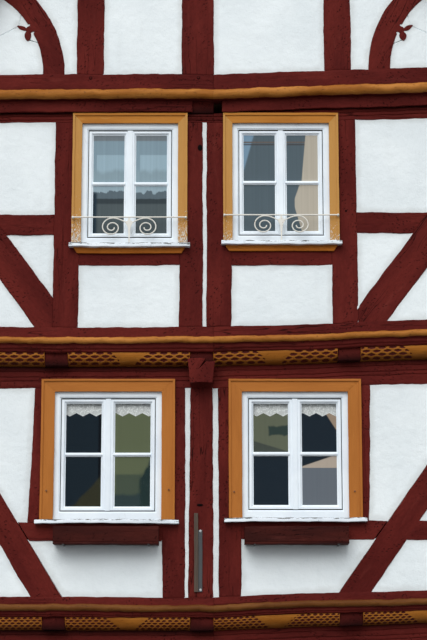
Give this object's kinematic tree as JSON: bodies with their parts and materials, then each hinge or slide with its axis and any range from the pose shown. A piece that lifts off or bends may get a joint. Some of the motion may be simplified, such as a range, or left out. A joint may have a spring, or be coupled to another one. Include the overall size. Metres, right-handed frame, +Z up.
{
  "type": "half timbered house with jettied gable front",
  "caption": "Hollow half timbered house with jettied gable front, carved floor edges, curved gable braces, casement windows, window grilles and a steep tiled roof.",
  "frame": {"origin": "on the ground under the middle of the house", "axes": "+Z up, the carved gable front faces -Y, +X to the right seen from the front"},
  "size_m": [6.7, 8.1, 13.1542],
  "materials": {
    "oxblood_timber": "oil paint over hewn oak, slightly worn",
    "ochre_paint": "ochre oil paint over wood",
    "plaster": "lime plaster, brushed, limewashed",
    "white_paint": "white gloss paint over wood",
    "window_glass": "clear glass",
    "plinth_stone": "dressed sandstone",
    "roof_tile": "fired clay plain tiles",
    "bare_wood": "unpainted softwood",
    "cream_iron": "cream paint over wrought iron, rusty in places",
    "black_iron": "black paint over iron",
    "door_wood": "dark stained oak"
  },
  "bodies": {
    "root": {"stone_plinth": "plinth_stone", "door_steps": "plinth_stone", "ground_floor": "bare_wood", "first_floor": "bare_wood", "second_floor": "bare_wood", "attic_floor": "bare_wood", "collar_beams": "bare_wood", "post_fixture": "bare_wood", "floor_joists": "oxblood_timber", "ground_sill": "oxblood_timber", "first_sill": "oxblood_timber", "second_sill": "oxblood_timber", "gable_sill": "oxblood_timber", "wall_plates": "oxblood_timber", "gable_board": "oxblood_timber", "console": "oxblood_timber", "ground_front_frame": "oxblood_timber", "first_front_frame": "oxblood_timber", "second_front_frame": "oxblood_timber", "rear_frame": "oxblood_timber", "side_frames": "oxblood_timber", "gable_frames": "oxblood_timber", "curved_braces": "oxblood_timber", "rafters": "oxblood_timber", "barge_boards": "oxblood_timber", "flower_boxes": "oxblood_timber", "ochre_beads": "ochre_paint", "floor_fillers": "ochre_paint", "window_trims": "ochre_paint", "window_aprons": "ochre_paint", "ground_infill": "plaster", "first_infill": "plaster", "second_infill": "plaster", "gable_infill": "plaster", "roof_left": "roof_tile", "roof_right": "roof_tile", "ridge_cap": "roof_tile", "window_sills": "white_paint", "window_frames": "white_paint", "casements": "white_paint", "door_frame": "white_paint", "window_glass": "window_glass", "iron_grilles": "cream_iron", "box_brackets": "black_iron", "front_door": "door_wood"}
  },
  "joints": []
}
